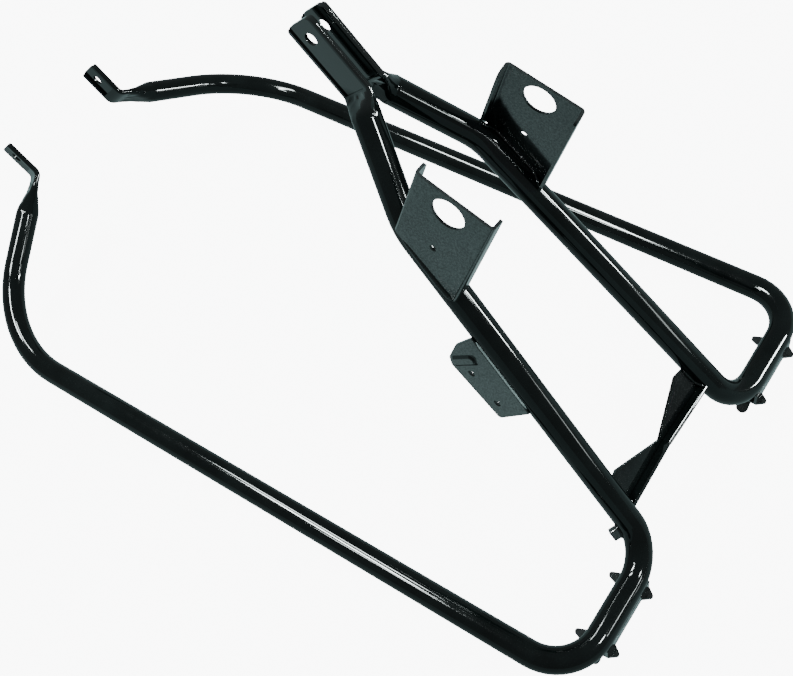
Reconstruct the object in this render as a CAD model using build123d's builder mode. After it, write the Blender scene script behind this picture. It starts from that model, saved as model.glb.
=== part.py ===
from build123d import *
import os
from math import pi, sin, cos, tan, radians

os.makedirs("parts", exist_ok=True)

# Driving dimensions, in millimetres and degrees.
# X is the bike's right, Y is forward, Z is up, with the rails level.
# The origin is on the mid plane, on the axis of the top cross bolt.

# Steel tube
tube_diameter = 19.1
tube_wall = 1.2
drain_hole_diameter = 5.0
drain_hole_from_rear = 60.0

# Course of one hoop's axis, as half distances from the mid plane and places along the frame
front_tab_half_spacing = 53.0
front_tab_bend_y = 609.1
front_tab_bend_z = 68.0
rail_front_half_spacing = 180.5
rail_rear_half_spacing = 172.0
rail_length = 568.0
leg_foot_half_spacing = 65.5
leg_slope = 50.5
knee_half_spacing = 42.0
knee_height_on_leg = 290.0
top_tab_half_spacing = 6.4
top_tab_bend_on_leg = 368.0

# Bend radii of the tube axis
front_bend_radius = 90.0
rear_outer_bend_radius = 35.0
rear_inner_bend_radius = 32.0
knee_bend_radius = 60.0

# Crushed and drilled tube ends
crushed_edge_thickness = 4.6
pressed_face_margin = 4.0
front_crush_length = 30.0
front_straight_flat = 4.072
front_tab_slope = 49.0
front_tab_length = 34.0
front_tab_bend_radius = 7.0
top_crush_length = 16.0
top_straight_flat = 0.13
top_tab_length = 53.5
top_tab_bend_radius = 4.0
tab_corner_radius = 7.0
tab_bolt_hole = 9.0
tab_hole_from_end = 12.5
# Share of the crush reached part of the way along it, eased at both ends
crush_course = ((0.16, 0.25), (0.5, 0.5), (0.84, 0.75), (1.0, 1.0))

# Indicator brackets, pressed channels standing on the legs
bracket_sheet = 2.0
bracket_width = 55.0
bracket_flange_depth = 11.0
bracket_bend_radius = 3.0
bracket_corner_radius = 4.0
bracket_angle_to_leg = 61.0
bracket_lean = 1.5
stem_hole_diameter = 22.4
stem_hole_half_spacing = 50.3
stem_hole_on_leg = 297.3
stem_hole_above_leg = 60.1
stem_hole_to_top = 14.2
wire_hole_diameter = 5.0
wire_hole_below_stem = 39.9
bracket_foot_above_leg = 3.5
plate_bite_into_tube = 1.2

# Lug plate on the left leg
lug_sheet = 2.5
lug_hole_diameter = 5.5
lug_corner_radius = 3.0
lug_upper_root, lug_upper_step = (209.0, 2.0), (204.5, 24.0)
lug_upper_corner, lug_outer_corner = (195.0, 40.5), (188.0, 44.5)
lug_lower_corner, lug_lower_root = (137.5, 37.5), (142.0, 2.0)
lug_upper_hole, lug_lower_hole = (179.2, 30.0), (151.7, 27.1)
lug_rib_centre, lug_rib_width, lug_rib_length, lug_rib_height = (191.5, 26.5), 8.0, 25.0, 1.8

# Cross brace, a bow-tie plate with a flange turned up along its lower edge
brace_sheet = 2.5
brace_lower_edge = 35.0
brace_waist_edge = 40.5
brace_wing_half_width = 43.0
brace_wing_edge = 59.5
brace_root_edge = 55.5
brace_waist_drop = 4.5
brace_leg_drop = 1.5
brace_flange_height = 9.0

# Strap cleats, saddles under the rear bars with pointed ears and turned-down end tongues
cleat_sheet = 2.0
cleat_inner_end = 84.5
cleat_outer_end = 143.5
cleat_half_width = 9.0
cleat_underside = -17.0
cleat_wall_height = 12.0
cleat_ear_inset = 5.5
cleat_ear_base = 11.0
cleat_ear_tip_front = 23.0
cleat_ear_tip_rear = -16.0
cleat_ear_rounding = 2.2
cleat_tongue_width = 9.0
cleat_tongue_length = 14.0
cleat_tongue_droop = 55.0

# Stop lugs on the front of the legs, near their feet
stop_lug_on_leg = 27.0
stop_lug_reach = 16.0
stop_lug_width = 9.0
stop_lug_thickness = 6.0
stop_lug_turn = 38.0

tube_radius = tube_diameter / 2
pressed_face_thickness = 2 * tube_wall
crushed_width = pi * (tube_diameter - tube_wall) / 2 + tube_wall
pressed_face_width = crushed_width - 2 * pressed_face_margin
pressed_depth = (crushed_edge_thickness - pressed_face_thickness) / 2
plate_offset = tube_radius - plate_bite_into_tube

# The leg plane holds both legs: local x across the frame, y up the legs, z square to them
leg_normal = (0, -sin(radians(leg_slope)), cos(radians(leg_slope)))
top_hole_on_leg = top_tab_bend_on_leg + top_tab_length - tab_hole_from_end
rear_bar_y = -top_hole_on_leg * cos(radians(leg_slope))
rear_bar_z = -top_hole_on_leg * sin(radians(leg_slope))
leg_plane = Plane(origin=(0, rear_bar_y, rear_bar_z), x_dir=(1, 0, 0), z_dir=leg_normal)

# Corner points of the right hoop's axis
front_tab_bend = Vector(
    front_tab_half_spacing, rear_bar_y + front_tab_bend_y, rear_bar_z + front_tab_bend_z
)
rail_front = Vector(rail_front_half_spacing, rear_bar_y + rail_length, rear_bar_z)
rail_rear = Vector(rail_rear_half_spacing, rear_bar_y, rear_bar_z)
leg_foot = Vector(leg_foot_half_spacing, rear_bar_y, rear_bar_z)
knee = leg_plane.from_local_coords(Vector(knee_half_spacing, knee_height_on_leg, 0))
top_tab_bend = leg_plane.from_local_coords(Vector(top_tab_half_spacing, top_tab_bend_on_leg, 0))

front_leg_direction = (rail_front - front_tab_bend).normalized()
top_leg_direction = (top_tab_bend - knee).normalized()
leg_direction = (knee - leg_foot).normalized()
front_tab_direction = Vector(0, cos(radians(front_tab_slope)), sin(radians(front_tab_slope)))
top_tab_direction = leg_plane.y_dir

# The flat before each tab holds a short straight and the start of the bend
front_tab_turn = front_tab_direction.get_angle(-front_leg_direction)
front_bend_reach = front_tab_bend_radius * tan(radians(front_tab_turn / 2))
top_tab_turn = top_tab_direction.get_angle(top_leg_direction)
top_bend_reach = top_tab_bend_radius * tan(radians(top_tab_turn / 2))
front_flat_start = front_tab_bend + front_leg_direction * (front_straight_flat + front_bend_reach)
front_round_start = front_flat_start + front_leg_direction * front_crush_length
top_flat_start = top_tab_bend - top_leg_direction * (top_straight_flat + top_bend_reach)
top_round_end = top_flat_start - top_leg_direction * top_crush_length
front_tab_end = front_tab_bend + front_tab_direction * front_tab_length
top_tab_end = top_tab_bend + top_tab_direction * top_tab_length

# The crushed ends are as wide as these directions show
front_width_direction = front_leg_direction.cross(front_tab_direction).normalized()
top_width_direction = top_leg_direction.cross(top_tab_direction).normalized()

hoop_points = [front_round_start, rail_front, rail_rear, leg_foot, knee, top_round_end]
hoop_radii = [front_bend_radius, rear_outer_bend_radius, rear_inner_bend_radius, knee_bend_radius]

front_round_plane = Plane(origin=front_round_start, x_dir=front_width_direction, z_dir=front_leg_direction)
front_flat_plane = Plane(origin=front_flat_start, x_dir=front_width_direction, z_dir=front_leg_direction)
top_round_plane = Plane(origin=top_round_end, x_dir=top_width_direction, z_dir=top_leg_direction)
top_flat_plane = Plane(origin=top_flat_start, x_dir=top_width_direction, z_dir=top_leg_direction)
front_tab_plane = Plane(origin=front_tab_end, x_dir=front_width_direction, z_dir=(1, 0, 0))
top_tab_plane = Plane(origin=top_tab_end, x_dir=top_width_direction, z_dir=(1, 0, 0))

# Plain outline of the bent tube, used to cope the plates that are welded to it
with BuildPart() as right_tube_outline:
    with BuildLine():
        FilletPolyline(*hoop_points, radius=hoop_radii)
    with BuildSketch(front_round_plane):
        Circle(tube_radius)
    sweep()

with BuildPart() as left_tube_outline:
    add(mirror(right_tube_outline.part, about=Plane.YZ))

# Right hoop: bent tube, then its crushed, pressed and drilled ends
with BuildPart() as right_hoop_tube:
    with BuildLine():
        FilletPolyline(*hoop_points, radius=hoop_radii)
    with BuildSketch(front_round_plane):
        Circle(tube_radius)
        Circle(tube_radius - tube_wall, mode=Mode.SUBTRACT)
    sweep()

    with BuildSketch(front_round_plane):
        Circle(tube_radius)
    for share, place in crush_course:
        with BuildSketch(front_round_plane.offset(-front_crush_length * place)):
            SlotOverall(
                tube_diameter + share * (crushed_width - tube_diameter),
                tube_diameter - share * (tube_diameter - crushed_edge_thickness),
            )
    loft()
    # The bore closes up before the walls meet
    with BuildSketch(front_round_plane):
        Circle(tube_radius - tube_wall)
    for share, place in crush_course[:-1]:
        with BuildSketch(front_round_plane.offset(-front_crush_length * place)):
            SlotOverall(
                tube_diameter + share * (crushed_width - tube_diameter) - 2 * tube_wall,
                tube_diameter - share * (tube_diameter - crushed_edge_thickness) - 2 * tube_wall,
            )
    loft(mode=Mode.SUBTRACT)
    with BuildLine():
        FilletPolyline(front_flat_start, front_tab_bend, front_tab_end, radius=front_tab_bend_radius)
    with BuildSketch(front_flat_plane):
        SlotOverall(crushed_width, crushed_edge_thickness)
    sweep()

    with BuildSketch(top_round_plane):
        Circle(tube_radius)
    for share, place in crush_course:
        with BuildSketch(top_round_plane.offset(top_crush_length * place)):
            SlotOverall(
                tube_diameter + share * (crushed_width - tube_diameter),
                tube_diameter - share * (tube_diameter - crushed_edge_thickness),
            )
    loft()
    # The bore closes up before the walls meet
    with BuildSketch(top_round_plane):
        Circle(tube_radius - tube_wall)
    for share, place in crush_course[:-1]:
        with BuildSketch(top_round_plane.offset(top_crush_length * place)):
            SlotOverall(
                tube_diameter + share * (crushed_width - tube_diameter) - 2 * tube_wall,
                tube_diameter - share * (tube_diameter - crushed_edge_thickness) - 2 * tube_wall,
            )
    loft(mode=Mode.SUBTRACT)
    with BuildLine():
        FilletPolyline(top_flat_start, top_tab_bend, top_tab_end, radius=top_tab_bend_radius)
    with BuildSketch(top_flat_plane):
        SlotOverall(crushed_width, crushed_edge_thickness)
    sweep()

    # Faces pressed flat on both sides of each tab
    for tab_plane, tab_length, tab_direction in (
        (front_tab_plane, front_tab_length - front_tab_bend_radius, front_tab_direction),
        (top_tab_plane, top_tab_length - top_tab_bend_radius / 4, top_tab_direction),
    ):
        along = tab_plane.to_local_coords(tab_plane.origin + tab_direction).Y
        for side in (-1, 1):
            with BuildSketch(tab_plane.offset(side * pressed_face_thickness / 2)):
                with Locations((0, -along * tab_length / 2)):
                    Rectangle(pressed_face_width, tab_length)
            extrude(amount=side * pressed_depth * 2, mode=Mode.SUBTRACT)
        # Bolt hole and rounded end corners
        with BuildSketch(tab_plane):
            with Locations((0, -along * tab_hole_from_end)):
                Circle(tab_bolt_hole / 2)
        extrude(amount=crushed_edge_thickness, both=True, mode=Mode.SUBTRACT)
        with BuildSketch(tab_plane):
            with Locations((0, -along * tab_corner_radius / 2)):
                Rectangle(crushed_width + 2, tab_corner_radius + 0.01)
            with Locations((0, -along * crushed_width / 2)):
                RectangleRounded(crushed_width, crushed_width, tab_corner_radius, mode=Mode.SUBTRACT)
        extrude(amount=crushed_edge_thickness, both=True, mode=Mode.SUBTRACT)

    # Drain hole under the rail
    with BuildSketch(Plane(origin=(0, rear_bar_y, rear_bar_z))):
        with Locations((rail_rear_half_spacing, drain_hole_from_rear)):
            Circle(drain_hole_diameter / 2)
    extrude(amount=-tube_diameter, mode=Mode.SUBTRACT)
right_hoop_tube.part.label = "right_hoop_tube"
export_step(right_hoop_tube.part, "parts/right_hoop_tube.step")

with BuildPart() as left_hoop_tube:
    add(mirror(right_hoop_tube.part, about=Plane.YZ))
left_hoop_tube.part.label = "left_hoop_tube"
export_step(left_hoop_tube.part, "parts/left_hoop_tube.step")

# Right indicator bracket: a channel that stands on the outer side of the leg
outboard = leg_direction.cross(Vector(*leg_normal)).normalized()
right_leg_side = Plane(origin=leg_foot, x_dir=leg_direction, z_dir=outboard)
stem_hole_place = leg_plane.from_local_coords(
    Vector(stem_hole_half_spacing, stem_hole_on_leg, stem_hole_above_leg)
)
# The bracket is set half way between the leg's splay and the mid plane, its top leaning inboard
bracket_foot_direction = (leg_direction + leg_plane.y_dir).normalized()
bracket_side_direction = (
    bracket_foot_direction * sin(radians(bracket_angle_to_leg))
    - Vector(*leg_normal) * cos(radians(bracket_angle_to_leg))
)
bracket_face_direction = bracket_foot_direction.cross(Vector(*leg_normal)).normalized()
bracket_up_direction = bracket_face_direction.cross(bracket_side_direction)
bracket_plane = Plane(
    origin=stem_hole_place,
    x_dir=bracket_side_direction,
    z_dir=bracket_face_direction * cos(radians(bracket_lean)) + bracket_up_direction * sin(radians(bracket_lean)),
)
bracket_height = stem_hole_to_top + 2 * stem_hole_above_leg

with BuildPart() as right_indicator_bracket:
    with BuildSketch(bracket_plane):
        with Locations((0, stem_hole_to_top - bracket_height / 2)):
            Rectangle(bracket_width, bracket_height)
    extrude(amount=-bracket_flange_depth)
    with BuildSketch(bracket_plane.offset(-bracket_sheet)):
        with Locations((0, stem_hole_to_top - bracket_height / 2)):
            Rectangle(bracket_width - 2 * bracket_sheet, bracket_height)
    extrude(amount=-bracket_flange_depth, mode=Mode.SUBTRACT)
    long_edges = right_indicator_bracket.edges().filter_by(lambda e: abs(e.length - bracket_height) < 0.01)
    face_edges = long_edges.sort_by(lambda e: bracket_plane.to_local_coords(e.center()).Z)
    fillet(face_edges[-2:], bracket_bend_radius)
    inner_edges = right_indicator_bracket.edges().filter_by(
        lambda e: abs(bracket_plane.to_local_coords(e.center()).Z + bracket_sheet) < 0.01
        and abs(e.length - bracket_height) < 0.01
    )
    fillet(inner_edges, bracket_bend_radius - bracket_sheet)
    flange_corners = right_indicator_bracket.edges().filter_by(
        lambda e: abs(e.length - bracket_sheet) < 0.01
        and abs(bracket_plane.to_local_coords(e.center()).Z + bracket_flange_depth) < 0.01
        and bracket_plane.to_local_coords(e.center()).Y > 0
    )
    fillet(flange_corners, bracket_corner_radius)
    with BuildSketch(bracket_plane):
        Circle(stem_hole_diameter / 2)
        with Locations((0, -wire_hole_below_stem)):
            Circle(wire_hole_diameter / 2)
    extrude(amount=-bracket_sheet * 1.5, mode=Mode.SUBTRACT)
    # Foot cut along the leg, then coped to the tube
    with BuildSketch(right_leg_side):
        with Locations((stem_hole_on_leg, bracket_foot_above_leg - bracket_height)):
            Rectangle(6 * bracket_width, 2 * bracket_height)
    extrude(amount=2 * bracket_width, both=True, mode=Mode.SUBTRACT)
    add(right_tube_outline.part, mode=Mode.SUBTRACT)
right_indicator_bracket.part.label = "right_indicator_bracket"
export_step(right_indicator_bracket.part, "parts/right_indicator_bracket.step")

with BuildPart() as left_indicator_bracket:
    add(mirror(right_indicator_bracket.part, about=Plane.YZ))
left_indicator_bracket.part.label = "left_indicator_bracket"
export_step(left_indicator_bracket.part, "parts/left_indicator_bracket.step")

# Lug plate: lies on the outer side of the left leg and hangs below it
left_leg_side = Plane(
    origin=Vector(-leg_foot.X, leg_foot.Y, leg_foot.Z),
    x_dir=Vector(-leg_direction.X, leg_direction.Y, leg_direction.Z),
    z_dir=Vector(-outboard.X, outboard.Y, outboard.Z),
)
with BuildPart() as lug_plate:
    with BuildSketch(left_leg_side.offset(plate_offset)) as lug_sketch:
        with BuildLine():
            Polyline(
                lug_upper_root, lug_upper_step, lug_upper_corner, lug_outer_corner,
                lug_lower_corner, lug_lower_root, close=True,
            )
        make_face()
        free_corners = lug_sketch.vertices().filter_by(lambda v: v.Y > lug_upper_root[1] + 1)
        fillet(free_corners, lug_corner_radius)
        with Locations(lug_upper_hole, lug_lower_hole):
            Circle(lug_hole_diameter / 2, mode=Mode.SUBTRACT)
    extrude(amount=lug_sheet)
    with BuildSketch(left_leg_side.offset(plate_offset + lug_sheet)):
        with Locations(lug_rib_centre):
            SlotOverall(lug_rib_length, lug_rib_width, rotation=90)
    extrude(amount=lug_rib_height, taper=40)
    add(left_tube_outline.part, mode=Mode.SUBTRACT)
lug_plate.part.label = "lug_plate"
export_step(lug_plate.part, "parts/lug_plate.step")

# Cross brace: two wings that meet low at the waist, flange turned up along the lower edge
brace_fall = Vector(leg_foot_half_spacing, 0, brace_waist_drop - brace_leg_drop).normalized()
brace_wing_plane = Plane(
    origin=leg_plane.from_local_coords(Vector(0, 0, -brace_waist_drop - brace_sheet)),
    x_dir=leg_plane.x_dir * brace_fall.X + leg_plane.z_dir * brace_fall.Z,
    z_dir=leg_plane.z_dir * brace_fall.X - leg_plane.x_dir * brace_fall.Z,
)
with BuildPart() as cross_brace:
    with BuildSketch(brace_wing_plane):
        with BuildLine():
            Polyline(
                (0, brace_lower_edge), (leg_foot_half_spacing, brace_lower_edge),
                (leg_foot_half_spacing, brace_root_edge), (brace_wing_half_width, brace_wing_edge),
                (0, brace_waist_edge), close=True,
            )
        make_face()
    extrude(amount=brace_sheet)
    with BuildSketch(brace_wing_plane):
        with BuildLine():
            Polyline(
                (0, brace_lower_edge), (leg_foot_half_spacing, brace_lower_edge),
                (leg_foot_half_spacing, brace_lower_edge + brace_sheet), (0, brace_lower_edge + brace_sheet),
                close=True,
            )
        make_face()
    extrude(amount=brace_flange_height)
    mirror(about=Plane.YZ)
    add(right_tube_outline.part, mode=Mode.SUBTRACT)
    add(left_tube_outline.part, mode=Mode.SUBTRACT)
cross_brace.part.label = "cross_brace"
export_step(cross_brace.part, "parts/cross_brace.step")

# Right strap cleat: channel under the rear bar, pointed ears in the plane of its web
cleat_length = cleat_outer_end - cleat_inner_end
cleat_middle = (cleat_outer_end + cleat_inner_end) / 2
cleat_web_plane = Plane(
    origin=(cleat_middle, rear_bar_y, rear_bar_z + cleat_underside), x_dir=(1, 0, 0), z_dir=(0, 0, 1)
)
with BuildPart() as right_strap_cleat:
    with BuildSketch(cleat_web_plane):
        Rectangle(cleat_length, 2 * cleat_half_width)
    extrude(amount=cleat_wall_height)
    with BuildSketch(cleat_web_plane.offset(cleat_sheet)):
        Rectangle(cleat_length, 2 * (cleat_half_width - cleat_sheet))
    extrude(amount=-cleat_underside, mode=Mode.SUBTRACT)
    with BuildSketch(cleat_web_plane) as ear_sketch:
        for end in (-1, 1):
            for root, tip in ((cleat_half_width, cleat_ear_tip_front), (-cleat_half_width, cleat_ear_tip_rear)):
                ear_x = end * (cleat_length / 2 - cleat_ear_inset)
                with BuildLine():
                    Polyline(
                        (ear_x - cleat_ear_base / 2, root * 0.8), (ear_x - cleat_ear_base / 2, root),
                        (ear_x, tip), (ear_x + cleat_ear_base / 2, root),
                        (ear_x + cleat_ear_base / 2, root * 0.8), close=True,
                    )
                make_face()
    extrude(amount=cleat_sheet)
    tips = right_strap_cleat.edges().filter_by(Axis.Z).filter_by(
        lambda e: e.center().Y > rear_bar_y + cleat_ear_tip_front - 0.1
        or e.center().Y < rear_bar_y + cleat_ear_tip_rear + 0.1
    )
    fillet(tips, cleat_ear_rounding)
    for end in (-1, 1):
        tongue_plane = Plane(
            origin=cleat_web_plane.from_local_coords(
                Vector(end * (cleat_length / 2 - cleat_sheet), 0, cleat_sheet)
            ),
            x_dir=(0, 1, 0),
            z_dir=(end * sin(radians(cleat_tongue_droop)), 0, cos(radians(cleat_tongue_droop))),
        )
        out = tongue_plane.to_local_coords(
            tongue_plane.origin + Vector(end * cos(radians(cleat_tongue_droop)), 0, -sin(radians(cleat_tongue_droop)))
        ).Y
        with BuildSketch(tongue_plane):
            with Locations((0, out * (cleat_tongue_length - cleat_tongue_width / 2) / 2)):
                Rectangle(cleat_tongue_width, cleat_tongue_length - cleat_tongue_width / 2)
            with Locations((0, out * (cleat_tongue_length - cleat_tongue_width / 2))):
                Circle(cleat_tongue_width / 2)
        extrude(amount=-cleat_sheet)
    add(right_tube_outline.part, mode=Mode.SUBTRACT)
right_strap_cleat.part.label = "right_strap_cleat"
export_step(right_strap_cleat.part, "parts/right_strap_cleat.step")

with BuildPart() as left_strap_cleat:
    add(mirror(right_strap_cleat.part, about=Plane.YZ))
left_strap_cleat.part.label = "left_strap_cleat"
export_step(left_strap_cleat.part, "parts/left_strap_cleat.step")

# Right stop lug: short stub on the front outer side of the leg's foot
stop_lug_direction = outboard * cos(radians(stop_lug_turn)) - Vector(*leg_normal) * sin(radians(stop_lug_turn))
stop_lug_plane = Plane(
    origin=leg_foot + leg_direction * stop_lug_on_leg, x_dir=leg_direction, z_dir=stop_lug_direction
)
with BuildPart() as right_stop_lug:
    with BuildSketch(stop_lug_plane):
        RectangleRounded(stop_lug_width, stop_lug_thickness, 1.5)
    extrude(amount=stop_lug_reach)
    add(right_tube_outline.part, mode=Mode.SUBTRACT)
right_stop_lug.part.label = "right_stop_lug"
export_step(right_stop_lug.part, "parts/right_stop_lug.step")

with BuildPart() as left_stop_lug:
    add(mirror(right_stop_lug.part, about=Plane.YZ))
left_stop_lug.part.label = "left_stop_lug"
export_step(left_stop_lug.part, "parts/left_stop_lug.step")
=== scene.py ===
from math import cos, hypot, pi, radians, sin, tan

import bmesh
import bpy
from mathutils import Matrix, Vector
from mathutils.bvhtree import BVHTree


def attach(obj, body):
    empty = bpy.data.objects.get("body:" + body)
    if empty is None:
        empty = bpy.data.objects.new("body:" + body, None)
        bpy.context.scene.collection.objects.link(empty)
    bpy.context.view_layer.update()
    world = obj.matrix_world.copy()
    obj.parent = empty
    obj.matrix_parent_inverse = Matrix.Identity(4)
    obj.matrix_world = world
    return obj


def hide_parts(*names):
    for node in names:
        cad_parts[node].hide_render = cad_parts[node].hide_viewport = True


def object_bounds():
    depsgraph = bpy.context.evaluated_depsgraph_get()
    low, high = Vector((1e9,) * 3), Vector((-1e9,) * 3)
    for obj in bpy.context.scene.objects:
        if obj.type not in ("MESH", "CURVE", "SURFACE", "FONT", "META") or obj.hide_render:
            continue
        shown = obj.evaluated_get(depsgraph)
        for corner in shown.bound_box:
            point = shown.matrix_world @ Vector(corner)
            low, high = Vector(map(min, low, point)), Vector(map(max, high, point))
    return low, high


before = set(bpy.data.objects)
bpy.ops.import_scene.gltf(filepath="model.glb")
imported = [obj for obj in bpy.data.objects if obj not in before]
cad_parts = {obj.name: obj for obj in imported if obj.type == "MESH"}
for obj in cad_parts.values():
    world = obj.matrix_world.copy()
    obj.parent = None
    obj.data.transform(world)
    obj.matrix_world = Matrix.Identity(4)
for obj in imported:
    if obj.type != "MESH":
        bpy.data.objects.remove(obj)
cad_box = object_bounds()

# Hoop tubes: two hoops bent from round steel tube, with both ends of each crushed flat,
# pressed and drilled. They were sprayed gloss black after welding, and the film has a
# fine orange peel, thin dust on its upper side and faint rub marks from handling.
tube_nodes = ["left_hoop_tube", "right_hoop_tube"]


def paint_film_group():
    """Sprayed paint: colour clouding, orange peel height, gloss that varies, and settled dust."""
    film = bpy.data.node_groups.new("sprayed_paint_film", "ShaderNodeTree")
    for name, kind, value in (
        ("Place", "NodeSocketVector", (0, 0, 0)),
        ("Deep Colour", "NodeSocketColor", (0.0006, 0.0009, 0.0009, 1)),
        ("Thin Colour", "NodeSocketColor", (0.0026, 0.0037, 0.0037, 1)),
        ("Dust Colour", "NodeSocketColor", (0.014, 0.018, 0.018, 1)),
        ("Peel Scale", "NodeSocketFloat", 700.0),
        ("Grain Scale", "NodeSocketFloat", 2600.0),
        ("Grain Share", "NodeSocketFloat", 0.3),
        ("Gloss Low", "NodeSocketFloat", 0.06),
        ("Gloss High", "NodeSocketFloat", 0.14),
        ("Dust Amount", "NodeSocketFloat", 0.3),
    ):
        socket = film.interface.new_socket(name, in_out="INPUT", socket_type=kind)
        socket.default_value = value
    for name, kind in (
        ("Colour", "NodeSocketColor"),
        ("Roughness", "NodeSocketFloat"),
        ("Height", "NodeSocketFloat"),
        ("Flecks", "NodeSocketFloat"),
    ):
        film.interface.new_socket(name, in_out="OUTPUT", socket_type=kind)
    node, link = film.nodes.new, film.links.new
    given, result = node("NodeGroupInput"), node("NodeGroupOutput")

    # Orange peel and the finer grain of the steel and spray under it
    peel = node("ShaderNodeTexNoise")
    peel.inputs["Detail"].default_value = 2.0
    link(given.outputs["Place"], peel.inputs["Vector"])
    link(given.outputs["Peel Scale"], peel.inputs["Scale"])
    grain = node("ShaderNodeTexNoise")
    grain.inputs["Detail"].default_value = 3.0
    grain.inputs["Roughness"].default_value = 0.65
    link(given.outputs["Place"], grain.inputs["Vector"])
    link(given.outputs["Grain Scale"], grain.inputs["Scale"])
    height = node("ShaderNodeMix")
    link(given.outputs["Grain Share"], height.inputs["Factor"])
    link(peel.outputs["Fac"], height.inputs["A"])
    link(grain.outputs["Fac"], height.inputs["B"])
    link(height.outputs["Result"], result.inputs["Height"])

    # Flecks of thicker film that stand out glossier
    fleck = node("ShaderNodeMapRange")
    fleck.inputs["From Min"].default_value = 0.36
    fleck.inputs["From Max"].default_value = 0.64
    link(grain.outputs["Fac"], fleck.inputs["Value"])
    link(fleck.outputs["Result"], result.inputs["Flecks"])

    # Clouds where the film is thinner, with the grain showing in them
    cloud = node("ShaderNodeTexNoise")
    cloud.inputs["Scale"].default_value = 34.0
    cloud.inputs["Detail"].default_value = 4.0
    link(given.outputs["Place"], cloud.inputs["Vector"])
    mottle = node("ShaderNodeMath")
    mottle.operation = "MULTIPLY"
    link(cloud.outputs["Fac"], mottle.inputs[0])
    link(grain.outputs["Fac"], mottle.inputs[1])
    thin = node("ShaderNodeMapRange")
    thin.inputs["From Min"].default_value = 0.12
    thin.inputs["From Max"].default_value = 0.42
    link(mottle.outputs[0], thin.inputs["Value"])
    paint = node("ShaderNodeMix")
    paint.data_type = "RGBA"
    link(thin.outputs["Result"], paint.inputs["Factor"])
    link(given.outputs["Deep Colour"], paint.inputs[6])
    link(given.outputs["Thin Colour"], paint.inputs[7])

    # Dust settles in specks, more of it on faces that look up
    speck = node("ShaderNodeTexNoise")
    speck.inputs["Scale"].default_value = 1500.0
    speck.inputs["Detail"].default_value = 1.0
    link(given.outputs["Place"], speck.inputs["Vector"])
    speck_mask = node("ShaderNodeMapRange")
    speck_mask.inputs["From Min"].default_value = 0.66
    speck_mask.inputs["From Max"].default_value = 0.78
    link(speck.outputs["Fac"], speck_mask.inputs["Value"])
    facing = node("ShaderNodeNewGeometry")
    split = node("ShaderNodeSeparateXYZ")
    link(facing.outputs["Normal"], split.inputs["Vector"])
    upward = node("ShaderNodeMapRange")
    upward.inputs["From Min"].default_value = -0.2
    upward.inputs["From Max"].default_value = 1.0
    link(split.outputs["Z"], upward.inputs["Value"])
    settled = node("ShaderNodeMath")
    settled.operation = "MULTIPLY"
    link(speck_mask.outputs["Result"], settled.inputs[0])
    link(upward.outputs["Result"], settled.inputs[1])
    dust = node("ShaderNodeMath")
    dust.operation = "MULTIPLY"
    link(settled.outputs[0], dust.inputs[0])
    link(given.outputs["Dust Amount"], dust.inputs[1])
    dusted = node("ShaderNodeMix")
    dusted.data_type = "RGBA"
    link(dust.outputs[0], dusted.inputs["Factor"])
    link(paint.outputs[2], dusted.inputs[6])
    link(given.outputs["Dust Colour"], dusted.inputs[7])
    link(dusted.outputs[2], result.inputs["Colour"])

    # Gloss drops in rubbed patches and under the dust
    rub = node("ShaderNodeTexNoise")
    rub.inputs["Scale"].default_value = 90.0
    rub.inputs["Detail"].default_value = 5.0
    rub.inputs["Distortion"].default_value = 0.6
    link(given.outputs["Place"], rub.inputs["Vector"])
    rubbed = node("ShaderNodeMapRange")
    rubbed.inputs["From Min"].default_value = 0.35
    rubbed.inputs["From Max"].default_value = 0.75
    link(rub.outputs["Fac"], rubbed.inputs["Value"])
    link(given.outputs["Gloss Low"], rubbed.inputs["To Min"])
    link(given.outputs["Gloss High"], rubbed.inputs["To Max"])
    dulled = node("ShaderNodeMath")
    dulled.operation = "MULTIPLY_ADD"
    dulled.inputs[1].default_value = 0.3
    link(dust.outputs[0], dulled.inputs[0])
    link(rubbed.outputs["Result"], dulled.inputs[2])
    link(dulled.outputs[0], result.inputs["Roughness"])
    return film


paint_film = paint_film_group()


def black_paint(name, film_values, shine, bump_strength, bump_distance):
    """Black enamel over steel, its film set by the values given."""
    material = bpy.data.materials.new(name)
    material.use_nodes = True
    nodes, links = material.node_tree.nodes, material.node_tree.links
    shader = nodes["Principled BSDF"]
    shader.inputs["IOR"].default_value = 1.5
    shader.inputs["Specular IOR Level"].default_value = shine
    shader.inputs["Coat Roughness"].default_value = 0.08
    place = nodes.new("ShaderNodeTexCoord")
    film = nodes.new("ShaderNodeGroup")
    film.node_tree = paint_film
    for key, value in film_values.items():
        film.inputs[key].default_value = value
    bump = nodes.new("ShaderNodeBump")
    bump.inputs["Strength"].default_value = bump_strength
    bump.inputs["Distance"].default_value = bump_distance
    links.new(place.outputs["Object"], film.inputs["Place"])
    links.new(film.outputs["Colour"], shader.inputs["Base Color"])
    links.new(film.outputs["Roughness"], shader.inputs["Roughness"])
    links.new(film.outputs["Height"], bump.inputs["Height"])
    links.new(bump.outputs["Normal"], shader.inputs["Normal"])
    return material


def thick_where(material, mask):
    """Lets the mask, a socket of the material, say where the paint film is thick and glossier."""
    shader = material.node_tree.nodes["Principled BSDF"]
    material.node_tree.links.new(mask, shader.inputs["Coat Weight"])


tube_paint = black_paint(
    "tube_gloss_black",
    {
        "Peel Scale": 300.0, "Grain Scale": 1600.0, "Grain Share": 0.03,
        "Gloss Low": 0.05, "Gloss High": 0.10,
    },
    shine=0.32,
    bump_strength=0.015,
    bump_distance=0.0004,
)
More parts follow.
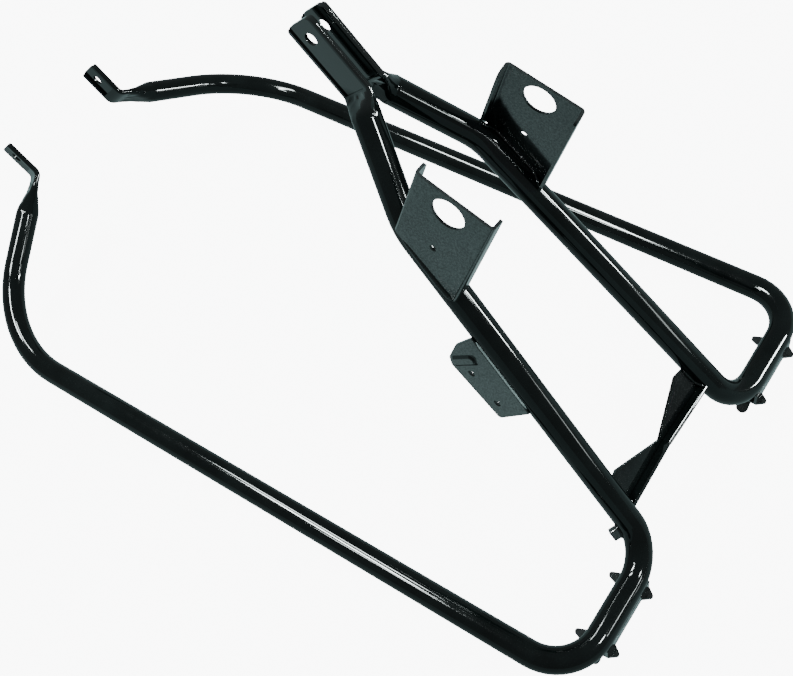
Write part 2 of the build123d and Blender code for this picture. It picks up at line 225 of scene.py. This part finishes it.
# The pressed top tabs took more paint, so the film is thicker above their bend
thick_film_starts, thick_film_full = -0.036, -0.030
tube_tree = tube_paint.node_tree
tube_place = tube_tree.nodes.new("ShaderNodeTexCoord")
tube_height = tube_tree.nodes.new("ShaderNodeSeparateXYZ")
thick_film = tube_tree.nodes.new("ShaderNodeMapRange")
thick_film.inputs["From Min"].default_value = thick_film_starts
thick_film.inputs["From Max"].default_value = thick_film_full
tube_tree.links.new(tube_place.outputs["Object"], tube_height.inputs["Vector"])
tube_tree.links.new(tube_height.outputs["Z"], thick_film.inputs["Value"])
thick_where(tube_paint, thick_film.outputs["Result"])
for name in tube_nodes:
    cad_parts[name].data.materials[0] = tube_paint

# Indicator brackets: channels pressed from 2 mm sheet, drilled for the lamp stem and its wire.
# Their edges are only broken, so paint pulls thin there. Each stands on the outer side of a
# leg and is held by rippled weld beads along both sides of its foot.
bracket_nodes = ["left_indicator_bracket", "right_indicator_bracket"]
bracket_edge_round = 0.0008
plate_paint = black_paint(
    "plate_black",
    {
        "Deep Colour": (0.0006, 0.0009, 0.0009, 1), "Thin Colour": (0.0120, 0.0160, 0.0160, 1),
        "Peel Scale": 700.0, "Grain Scale": 800.0, "Grain Share": 0.4,
        "Gloss Low": 0.10, "Gloss High": 0.15, "Dust Amount": 0.6,
    },
    shine=0.8,
    bump_strength=0.03,
    bump_distance=0.0004,
)
plate_film = next(node for node in plate_paint.node_tree.nodes if node.type == "GROUP")
thick_where(plate_paint, plate_film.outputs["Flecks"])


def plain_object(name, mesh, material):
    """A new piece of the frame: placed by its mesh, painted, and riding with the frame."""
    piece = bpy.data.objects.new(name, mesh)
    bpy.context.scene.collection.objects.link(piece)
    mesh.materials.clear()
    mesh.materials.append(material)
    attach(piece, "root")
    return piece


def as_plain_mesh(piece, name):
    """The piece as its modifiers leave it."""
    bpy.context.view_layer.update()
    evaluated = piece.evaluated_get(bpy.context.evaluated_depsgraph_get())
    finished = bpy.data.meshes.new_from_object(evaluated)
    finished.name = name
    bpy.data.objects.remove(piece)
    return finished


def sheared_edges(shell, drilled_step=0.0012, sharp_from=radians(40)):
    """The plate's sharp edges, less the rims of drilled holes, which are runs of short steps only."""
    sharp = {edge for edge in shell.edges if edge.is_manifold and edge.calc_face_angle() > sharp_from}
    found = {edge for edge in sharp if edge.calc_length() > drilled_step}
    ahead = list(found)
    while ahead:
        for vertex in ahead.pop().verts:
            for edge in vertex.link_edges:
                if edge in sharp and edge not in found:
                    found.add(edge)
                    ahead.append(edge)
    return [edge for edge in shell.edges if edge in found]


def edges_broken(node, edge_round, material, settle=None, cuts=()):
    """The pressed piece with its sheared edges rounded over, standing for the plain node."""
    same_place, same_face = 1e-6, radians(0.3)
    shell = bmesh.new()
    shell.from_mesh(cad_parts[node].data)
    bmesh.ops.remove_doubles(shell, verts=shell.verts, dist=same_place)
    bmesh.ops.dissolve_limit(shell, angle_limit=same_face, verts=shell.verts, edges=shell.edges)
    for spot, facing in cuts:
        whole = [*shell.verts, *shell.edges, *shell.faces]
        bmesh.ops.bisect_plane(shell, geom=whole, plane_co=spot, plane_no=facing)
    if settle is not None:
        for vertex in shell.verts:
            vertex.co = settle(vertex.co)
    bmesh.ops.bevel(
        shell, geom=sheared_edges(shell), offset=edge_round, segments=2, profile=0.5,
        affect="EDGES", clamp_overlap=True, loop_slide=False,
    )
    mesh = bpy.data.meshes.new(node + "_sheet")
    shell.to_mesh(mesh)
    shell.free()
    mesh.shade_smooth()
    draft = bpy.data.objects.new(node + "_draft", mesh)
    bpy.context.scene.collection.objects.link(draft)
    shading = draft.modifiers.new("flat_faces", "WEIGHTED_NORMAL")
    shading.weight = 100
    piece = plain_object(node + "_painted", as_plain_mesh(draft, node + "_painted"), material)
    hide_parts(node)
    return piece


for name in bracket_nodes:
    edges_broken(name, bracket_edge_round, plate_paint)

# A weld bead is laid along a seam: its radius swells and sinks with each weave of the torch,
# wanders a little, and runs out at both ends.
bead_paint = black_paint(
    "weld_black",
    {
        "Peel Scale": 500.0, "Grain Scale": 2600.0, "Grain Share": 0.3,
        "Gloss Low": 0.08, "Gloss High": 0.2,
    },
    shine=0.5,
    bump_strength=0.12,
    bump_distance=0.0003,
)


def weld_bead_tree():
    """Curve to rippled bead: sizes are inputs of the tree, in metres."""
    tree = bpy.data.node_groups.new("weld_bead", "GeometryNodeTree")
    tree.interface.new_socket("Seam", in_out="INPUT", socket_type="NodeSocketGeometry")
    for name, kind, value in (
        ("Bead Radius", "NodeSocketFloat", 0.0016),
        ("Weave Pitch", "NodeSocketFloat", 0.0022),
        ("Weave Depth", "NodeSocketFloat", 0.16),
        ("Wander", "NodeSocketFloat", 0.3),
        ("Seed", "NodeSocketInt", 4),
        ("Paint", "NodeSocketMaterial", None),
    ):
        socket = tree.interface.new_socket(name, in_out="INPUT", socket_type=kind)
        if value is not None:
            socket.default_value = value
    tree.interface.new_socket("Bead", in_out="OUTPUT", socket_type="NodeSocketGeometry")
    node, link = tree.nodes.new, tree.links.new
    given, result = node("NodeGroupInput"), node("NodeGroupOutput")
    step_length, bead_sides = 0.0004, 14
    wanders_per_metre, seed_spacing = 160.0, 7.31
    swell_power, plain_size, smallest_radius, run_out_rate = 0.6, 0.9, 0.0001, 14.0

    def worked_out(operation, first, second):
        """One step of arithmetic on sockets or plain numbers."""
        step = node("ShaderNodeMath")
        step.operation = operation
        for socket, value in zip(step.inputs, (first, second)):
            if isinstance(value, (int, float)):
                socket.default_value = value
            elif value is not None:
                link(value, socket)
        return step.outputs[0]

    fine = node("GeometryNodeResampleCurve")
    fine.mode = "LENGTH"
    fine.inputs["Length"].default_value = step_length
    link(given.outputs["Seam"], fine.inputs["Curve"])
    along = node("GeometryNodeSplineParameter")
    # Each weave is a rounded step, steep behind and gentle in front
    turn = worked_out("DIVIDE", along.outputs["Length"], given.outputs["Weave Pitch"])
    step = worked_out("FRACT", turn, None)
    swell = worked_out("POWER", step, swell_power)
    ripple = worked_out("MULTIPLY", swell, given.outputs["Weave Depth"])
    # The hand wanders
    seed = worked_out("MULTIPLY", given.outputs["Seed"], seed_spacing)
    spot = worked_out("MULTIPLY", along.outputs["Length"], wanders_per_metre)
    wander = node("ShaderNodeTexNoise")
    wander.noise_dimensions = "2D"
    wander.inputs["Scale"].default_value = 1.0
    where = node("ShaderNodeCombineXYZ")
    link(spot, where.inputs["X"])
    link(seed, where.inputs["Y"])
    link(where.outputs["Vector"], wander.inputs["Vector"])
    drift = worked_out("SUBTRACT", wander.outputs["Fac"], 0.5)
    drift = worked_out("MULTIPLY", drift, given.outputs["Wander"])
    # Both ends run out in a rounded stop
    back = worked_out("SUBTRACT", 1.0, along.outputs["Factor"])
    near_end = worked_out("MINIMUM", along.outputs["Factor"], back)
    run_out = worked_out("MULTIPLY", near_end, run_out_rate)
    run_out = worked_out("MINIMUM", run_out, 1.0)
    run_out = worked_out("POWER", run_out, 0.5)
    size = worked_out("ADD", ripple, drift)
    size = worked_out("ADD", size, plain_size)
    size = worked_out("MULTIPLY", size, run_out)
    size = worked_out("MULTIPLY", size, given.outputs["Bead Radius"])
    size = worked_out("MAXIMUM", size, smallest_radius)
    sized = node("GeometryNodeSetCurveRadius")
    link(fine.outputs["Curve"], sized.inputs["Curve"])
    link(size, sized.inputs["Radius"])
    ring = node("GeometryNodeCurvePrimitiveCircle")
    ring.inputs["Resolution"].default_value = bead_sides
    ring.inputs["Radius"].default_value = 1.0
    skin = node("GeometryNodeCurveToMesh")
    skin.inputs["Fill Caps"].default_value = True
    link(sized.outputs["Curve"], skin.inputs["Curve"])
    link(ring.outputs["Curve"], skin.inputs["Profile Curve"])
    link(size, skin.inputs["Scale"])
    whole = node("GeometryNodeRealizeInstances")
    link(skin.outputs["Mesh"], whole.inputs["Geometry"])
    painted = node("GeometryNodeSetMaterial")
    link(whole.outputs["Geometry"], painted.inputs["Geometry"])
    link(given.outputs["Paint"], painted.inputs["Material"])
    link(painted.outputs["Geometry"], result.inputs["Bead"])
    return tree


weld_bead = weld_bead_tree()


def tree_input(tree, name):
    """The identifier of a tree's input, which its modifier is set by."""
    return next(
        item.identifier
        for item in tree.interface.items_tree
        if item.item_type == "SOCKET" and item.in_out == "INPUT" and item.name == name
    )


surfaces = {
    name: BVHTree.FromPolygons(
        [vertex.co for vertex in node.data.vertices],
        [list(face.vertices) for face in node.data.polygons],
    )
    for name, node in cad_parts.items()
}


def straight(start, end, count):
    """Points evenly spaced between two places."""
    return [Vector(start).lerp(Vector(end), step / (count - 1)) for step in range(count)]


def seam_between(first, second, guides, rounds=40):
    """Points where two pieces meet, found from guide points beside the joint."""
    points = []
    for spot in guides:
        for _ in range(rounds):
            spot = surfaces[first].find_nearest(spot)[0]
            spot = surfaces[second].find_nearest(spot)[0]
        points.append(spot)
    return points


def lay_bead(name, seam, bead_radius, seed, weave_depth=0.16, paint=bead_paint, closed=False):
    """One bead along a seam, as a plain mesh that rides with the frame."""
    curve = bpy.data.curves.new(name + "_seam", "CURVE")
    curve.dimensions = "3D"
    line = curve.splines.new("POLY")
    line.points.add(len(seam) - 1)
    for point, spot in zip(line.points, seam):
        point.co = (*spot, 1)
    line.use_cyclic_u = closed
    draft = bpy.data.objects.new(name + "_draft", curve)
    bpy.context.scene.collection.objects.link(draft)
    torch = draft.modifiers.new("weld", "NODES")
    torch.node_group = weld_bead
    for key, value in (
        ("Bead Radius", bead_radius), ("Weave Depth", weave_depth), ("Seed", seed), ("Paint", paint),
    ):
        torch[tree_input(weld_bead, key)] = value
    mesh = as_plain_mesh(draft, name)
    mesh.shade_smooth()
    piece = plain_object(name, mesh, paint)


# The legs lie in one sloping plane, so places on them are given across, up and square to it
leg_slope = radians(50.5)
rear_bar = Vector((0, -0.260156, -0.315594))


def on_leg(across, up, square):
    """A place near the legs, from millimetres off the rear bars' axis at the mid plane."""
    return rear_bar + Vector((
        across / 1000,
        (up * cos(leg_slope) - square * sin(leg_slope)) / 1000,
        (up * sin(leg_slope) + square * cos(leg_slope)) / 1000,
    ))


# Each seam is found from a line beside it, whose ends are given in millimetres for the right leg
bracket_bead, seam_points = 0.0017, 24
bracket_seams = (
    ("outer", (60, 238, 0), (58, 294, 0), {"left": 3, "right": 5}),
    ("inner", (44, 240, 16), (42, 290, 16), {"left": 8, "right": 11}),
)
for side, hand in (("left", -1), ("right", 1)):
    for place, low, high, seeds in bracket_seams:
        lower_end, upper_end = on_leg(hand * low[0], *low[1:]), on_leg(hand * high[0], *high[1:])
        beside = straight(lower_end, upper_end, seam_points)
        foot = seam_between(side + "_hoop_tube", side + "_indicator_bracket", beside)
        lay_bead(f"{side}_bracket_{place}_weld", foot, bracket_bead, seed=seeds[side])

# Lug plate: a flat pressed lug with a raised stiffening rib, drilled twice, and welded along
# its root to the outer side of the left leg by a long bead on the ledge of the root, painted light
# grey as a painted sheen, and another behind it. The sides of the rib get the darker tube paint as
# painted shade.
off_the_legs = Vector((0, -sin(leg_slope), cos(leg_slope)))
foot_spread, knee_spread, knee_height = 65.5, 42.0, 290.0


def leg_course(hand):
    """The way that a leg runs from its foot up to its knee."""
    knee = on_leg(hand * knee_spread, knee_height, 0)
    return (knee - on_leg(hand * foot_spread, 0, 0)).normalized()


lug_edge_round = 0.0004
# The rib is placed in millimetres, up the leg from its foot and down the lug from the leg
rib_up_leg, rib_below_leg = 191.5, 26.5
rib_half_width, rib_half_straight, rib_side_width = 4.0, 8.5, 2.0
flat_on_from = 0.95
lug = edges_broken("lug_plate", lug_edge_round, plate_paint)
lug.data.materials.append(tube_paint)
left_foot, left_leg_up = on_leg(-foot_spread, 0, 0), leg_course(-1)
lug_faces = off_the_legs.cross(left_leg_up)
# The rib's sloping sides take the darker, less glossy tube paint: painted shade that draws dark lines
# along the rib
for face in lug.data.polygons:
    up_from_rib = (face.center - left_foot).dot(left_leg_up) * 1000 - rib_up_leg
    down_from_rib = (left_foot - face.center).dot(off_the_legs) * 1000 - rib_below_leg
    from_axis = hypot(up_from_rib, max(abs(down_from_rib) - rib_half_straight, 0))
    painted_shade_rib_side = rib_half_width - rib_side_width < from_axis < rib_half_width + lug_edge_round * 1000
    if painted_shade_rib_side and abs(face.normal.dot(lug_faces)) < flat_on_from:
        face.material_index = 1
# A thin black bead in the crease below the rib is painted shade: it draws a dark line along the rib's
# foot
shade_line_radius = 0.0010
shade_line_below_rib, shade_line_starts, shade_line_ends, shade_line_step = 0.2, 15, 43, 2
well_clear = lug_faces * 0.05
shade_line_up_leg = rib_up_leg - rib_half_width - shade_line_below_rib
in_front = left_foot + left_leg_up * shade_line_up_leg / 1000 + well_clear
rib_foot_shade_line = [
    surfaces["lug_plate"].ray_cast(in_front - off_the_legs * down / 1000, -lug_faces)[0]
    for down in range(shade_line_starts, shade_line_ends, shade_line_step)
]
lay_bead("lug_rib_painted_shade_line", rib_foot_shade_line, shade_line_radius, seed=19, weave_depth=0.0, paint=tube_paint)
# Light grey paint on the root bead is a painted sheen: it stands for the light the bead catches along
# the lug's root
root_bead_sheen_paint = black_paint(
    "weld_painted_sheen_grey",
    {
        "Deep Colour": (0.10, 0.125, 0.125, 1), "Thin Colour": (0.23, 0.285, 0.285, 1),
        "Peel Scale": 500.0, "Grain Scale": 2000.0, "Grain Share": 0.3,
        "Gloss Low": 0.3, "Gloss High": 0.4,
    },
    shine=0.5,
    bump_strength=0.1,
    bump_distance=0.0003,
)
root_bead, root_weave, back_bead = 0.0012, 0.05, 0.0015
beside_root = straight(on_leg(-66, 146, 6), on_leg(-61, 205, 6), seam_points)
lug_root = seam_between("left_hoop_tube", "lug_plate", beside_root)
lay_bead("lug_root_weld", lug_root, root_bead, seed=14, weave_depth=root_weave, paint=root_bead_sheen_paint)
beside_back = straight(on_leg(-56, 148, -14), on_leg(-51, 200, -14), seam_points)
lug_back = seam_between("left_hoop_tube", "lug_plate", beside_back)
lay_bead("lug_back_weld", lug_back, back_bead, seed=17)

# Cross brace: a bow-tie of 2.5 mm sheet with a flange folded up along its lower edge, set
# between the two legs and welded to both of them on its upper face. The shear broke the inner
# corner of the flange's top edge on the right half, and it slopes down to the inside there.
up_the_legs = Vector((0, cos(leg_slope), sin(leg_slope)))
brace_edge_round, brace_bead, brace_seam_points = 0.0004, 0.0015, 12
shear_slope = radians(13)
# The flange is placed in millimetres across, up and square to the legs
sheared_from = 1.5
flange_inside, flange_middle = 37.5, 36.2
flange_top_at_waist, flange_rise = 2.0, 0.0458
near_top, near_cut = 0.2, 0.1


def flange_sheared(corner):
    """A corner of the brace; the flange's top edge is lifted on the side that the shear left high."""
    from_bar = (corner - rear_bar) * 1000
    up = from_bar.y * cos(leg_slope) + from_bar.z * sin(leg_slope)
    square = from_bar.z * cos(leg_slope) - from_bar.y * sin(leg_slope)
    on_top = square > flange_top_at_waist + flange_rise * abs(from_bar.x) - near_top
    if not on_top or from_bar.x < sheared_from - near_cut or up > flange_inside:
        return corner.copy()
    lift = (flange_inside - max(up, flange_middle)) * tan(shear_slope) / 1000
    return corner + off_the_legs * lift


brace_paint = black_paint(
    "brace_black",
    {
        "Peel Scale": 700.0, "Grain Scale": 800.0, "Grain Share": 0.4,
        "Gloss Low": 0.07, "Gloss High": 0.12, "Dust Amount": 0.5,
    },
    shine=0.45,
    bump_strength=0.012,
    bump_distance=0.0004,
)
across_flange = (Vector((sheared_from / 1000, 0, 0)), Vector((1, 0, 0)))
along_flange = (on_leg(0, flange_middle, 0), up_the_legs)
edges_broken(
    "cross_brace", brace_edge_round, brace_paint, flange_sheared, cuts=(across_flange, along_flange)
)
for side, hand in (("left", -1), ("right", 1)):
    beside = straight(on_leg(hand * 52, 38, 4), on_leg(hand * 50, 56, 4), brace_seam_points)
    root = seam_between(side + "_hoop_tube", "cross_brace", beside)
    lay_bead(side + "_brace_weld", root, brace_bead, seed=21 + hand)

# Strap cleats: saddles folded from 2 mm sheet under the rear bars, with four pointed ears and
# two turned-down tongues each. A short bead in front and behind holds each to its bar.
cleat_edge_round, cleat_bead, cleat_seam_points = 0.0004, 0.0012, 14
cleat_weld_from, cleat_weld_to, cleat_weld_height = 0.097, 0.131, -0.002
for side, hand in (("left", -1), ("right", 1)):
    edges_broken(side + "_strap_cleat", cleat_edge_round, plate_paint)
    for place, forward, seed in (("front", 0.012, 31), ("rear", -0.012, 37)):
        beside = straight(
            rear_bar + Vector((hand * cleat_weld_from, forward, cleat_weld_height)),
            rear_bar + Vector((hand * cleat_weld_to, forward, cleat_weld_height)),
            cleat_seam_points,
        )
        saddle_edge = seam_between(side + "_hoop_tube", side + "_strap_cleat", beside)
        lay_bead(f"{side}_cleat_{place}_weld", saddle_edge, cleat_bead, seed=seed + hand)

# Stop lugs: short square stubs with rounded corners on the front of the legs near their feet,
# each welded all round where it meets the tube.
stop_lug_edge_round, stop_lug_bead = 0.0008, 0.0012
stop_lug_up_leg, stop_lug_turn = 0.027, radians(38)
ring_out, ring_half_height, ring_half_width, ring_points = 0.0105, 0.005, 0.0035, 24
for side, hand in (("left", -1), ("right", 1)):
    edges_broken(side + "_stop_lug", stop_lug_edge_round, plate_paint)
    up_leg = leg_course(hand)
    on_axis = on_leg(hand * foot_spread, 0, 0) + up_leg * stop_lug_up_leg
    outward = up_leg.cross(off_the_legs) * hand
    points_to = outward * cos(stop_lug_turn) - off_the_legs * sin(stop_lug_turn)
    sideways = points_to.cross(up_leg)
    ring = []
    for step in range(ring_points):
        turn = 2 * pi * step / ring_points
        around = up_leg * ring_half_height * cos(turn) + sideways * ring_half_width * sin(turn)
        ring.append(on_axis + points_to * ring_out + around)
    foot = seam_between(side + "_hoop_tube", side + "_stop_lug", ring)
    lay_bead(side + "_stop_lug_weld", foot, stop_lug_bead, seed=43 + hand, closed=True)

# Floor, studio light and camera: a plain pale floor and backdrop, three soft strips high in
# front, five behind on the right, and dim light all round.
floor_half, floor_height = 20, cad_box[0][2] - 0.0001
floor_mesh = bpy.data.meshes.new("floor")
floor_mesh.from_pydata(
    [
        (side * floor_half, end * floor_half, floor_height)
        for side, end in ((-1, -1), (1, -1), (1, 1), (-1, 1))
    ],
    [],
    [(0, 1, 2, 3)],
)
floor = bpy.data.objects.new("floor", floor_mesh)
bpy.context.scene.collection.objects.link(floor)
floor_look = bpy.data.materials.new("pale_floor")
floor_look.use_nodes = True
floor_nodes, floor_links = floor_look.node_tree.nodes, floor_look.node_tree.links
floor_shader = floor_nodes["Principled BSDF"]
floor_shader.inputs["Roughness"].default_value = 0.9
floor_shader.inputs["Specular IOR Level"].default_value = 0.1
floor_place = floor_nodes.new("ShaderNodeTexCoord")
floor_cloud = floor_nodes.new("ShaderNodeTexNoise")
floor_cloud.inputs["Scale"].default_value = 1.5
floor_tint = floor_nodes.new("ShaderNodeMix")
floor_tint.data_type = "RGBA"
floor_tint.inputs[6].default_value = (0.104, 0.130, 0.130, 1)
floor_tint.inputs[7].default_value = (0.110, 0.137, 0.137, 1)
floor_links.new(floor_place.outputs["Object"], floor_cloud.inputs["Vector"])
floor_links.new(floor_cloud.outputs["Fac"], floor_tint.inputs["Factor"])
floor_links.new(floor_tint.outputs[2], floor_shader.inputs["Base Color"])
# The floor is a lit white sweep to the camera, and dimmer where the paint mirrors it
floor_path = floor_nodes.new("ShaderNodeLightPath")
floor_glow = floor_nodes.new("ShaderNodeMix")
floor_glow.data_type = "RGBA"
floor_glow.inputs[6].default_value = (0.032, 0.0455, 0.0455, 1)
floor_glow.inputs[7].default_value = (1, 1, 1, 1)
floor_links.new(floor_path.outputs["Is Camera Ray"], floor_glow.inputs["Factor"])
floor_links.new(floor_glow.outputs[2], floor_shader.inputs["Emission Color"])
floor_shader.inputs["Emission Strength"].default_value = 9.0
floor_mesh.materials.append(floor_look)


lamp_colour = (0.9, 1.0, 0.99)


def strip_lamp(name, one_end, other_end, aim, width, brightness):
    """A soft strip between two points, facing the object; brightness is per square metre."""
    one_end, other_end = Vector(one_end), Vector(other_end)
    middle = (one_end + other_end) / 2
    along = (other_end - one_end).normalized()
    away = middle - Vector(aim)
    away = (away - along * away.dot(along)).normalized()
    lamp = bpy.data.lights.new(name, "AREA")
    lamp.shape = "RECTANGLE"
    lamp.size, lamp.size_y = (other_end - one_end).length, width
    lamp.energy = brightness * lamp.size * width
    lamp.color = lamp_colour
    lamp.cycles.max_bounces = 0
    holder = bpy.data.objects.new(name, lamp)
    turned = Matrix((along, away.cross(along), away)).transposed().to_4x4()
    holder.matrix_world = Matrix.Translation(middle) @ turned
    holder.visible_camera = False
    bpy.context.scene.collection.objects.link(holder)


front_height, front_aim = 1.70, (0, 0, -0.3)
for name, (x, y), (x_end, y_end), width, brightness in (
    ("left_front_lamp", (-0.74, 0.54), (-0.22, 1.06), 0.18, 620),
    ("far_left_lamp", (-0.92, 0.47), (-1.18, 0.90), 0.10, 330),
    ("right_front_lamp", (0.02, 0.50), (0.35, 1.24), 0.16, 330),
):
    strip_lamp(name, (x, y, front_height), (x_end, y_end, front_height), front_aim, width, brightness)
rear_y, rear_aim = -1.30, (0, -0.1, -0.1)
for name, (x, z), (x_end, z_end), width, brightness in (
    ("rear_lamp", (0.86, -0.06), (0.74, 0.34), 0.09, 700),
    ("low_rear_lamp", (0.25, -0.125), (0.66, -0.06), 0.05, 45),
    ("small_rear_lamp", (0.455, 0.265), (0.575, 0.265), 0.13, 500),
    ("middle_rear_lamp", (0.21, 0.345), (0.31, 0.26), 0.06, 170),
    ("high_rear_lamp", (0.06, 0.93), (0.22, 0.91), 0.12, 620),
):
    strip_lamp(name, (x, rear_y, z), (x_end, rear_y, z_end), rear_aim, width, brightness)

# The surround is dim where the paint mirrors it, and a pale backdrop to the camera
surround = bpy.data.worlds.new("dim_studio")
surround.use_nodes = True
surround_nodes, surround_links = surround.node_tree.nodes, surround.node_tree.links
surround_path = surround_nodes.new("ShaderNodeLightPath")
surround_tint = surround_nodes.new("ShaderNodeMix")
surround_tint.data_type = "RGBA"
surround_tint.inputs[6].default_value = (0.20, 0.23, 0.23, 1)
surround_tint.inputs[7].default_value = (9, 9, 9, 1)
surround_links.new(surround_path.outputs["Is Camera Ray"], surround_tint.inputs["Factor"])
surround_links.new(surround_tint.outputs[2], surround_nodes["Background"].inputs["Color"])
bpy.context.scene.world = surround

camera_place = (-0.3516, -0.383356, 0.421706)
lens = bpy.data.cameras.new("camera")
lens.sensor_width = 36.0
lens.lens = 49.96
camera = bpy.data.objects.new("camera", lens)
ahead = Vector((0.3829, 0.4259, -0.8197)).normalized()
across = Vector((0.5656, -0.8097, -0.1565))
across = (across - ahead * across.dot(ahead)).normalized()
above = across.cross(ahead)
turned = Matrix((across, above, -ahead)).transposed().to_4x4()
camera.matrix_world = Matrix.Translation(camera_place) @ turned
bpy.context.scene.collection.objects.link(camera)
bpy.context.scene.camera = camera
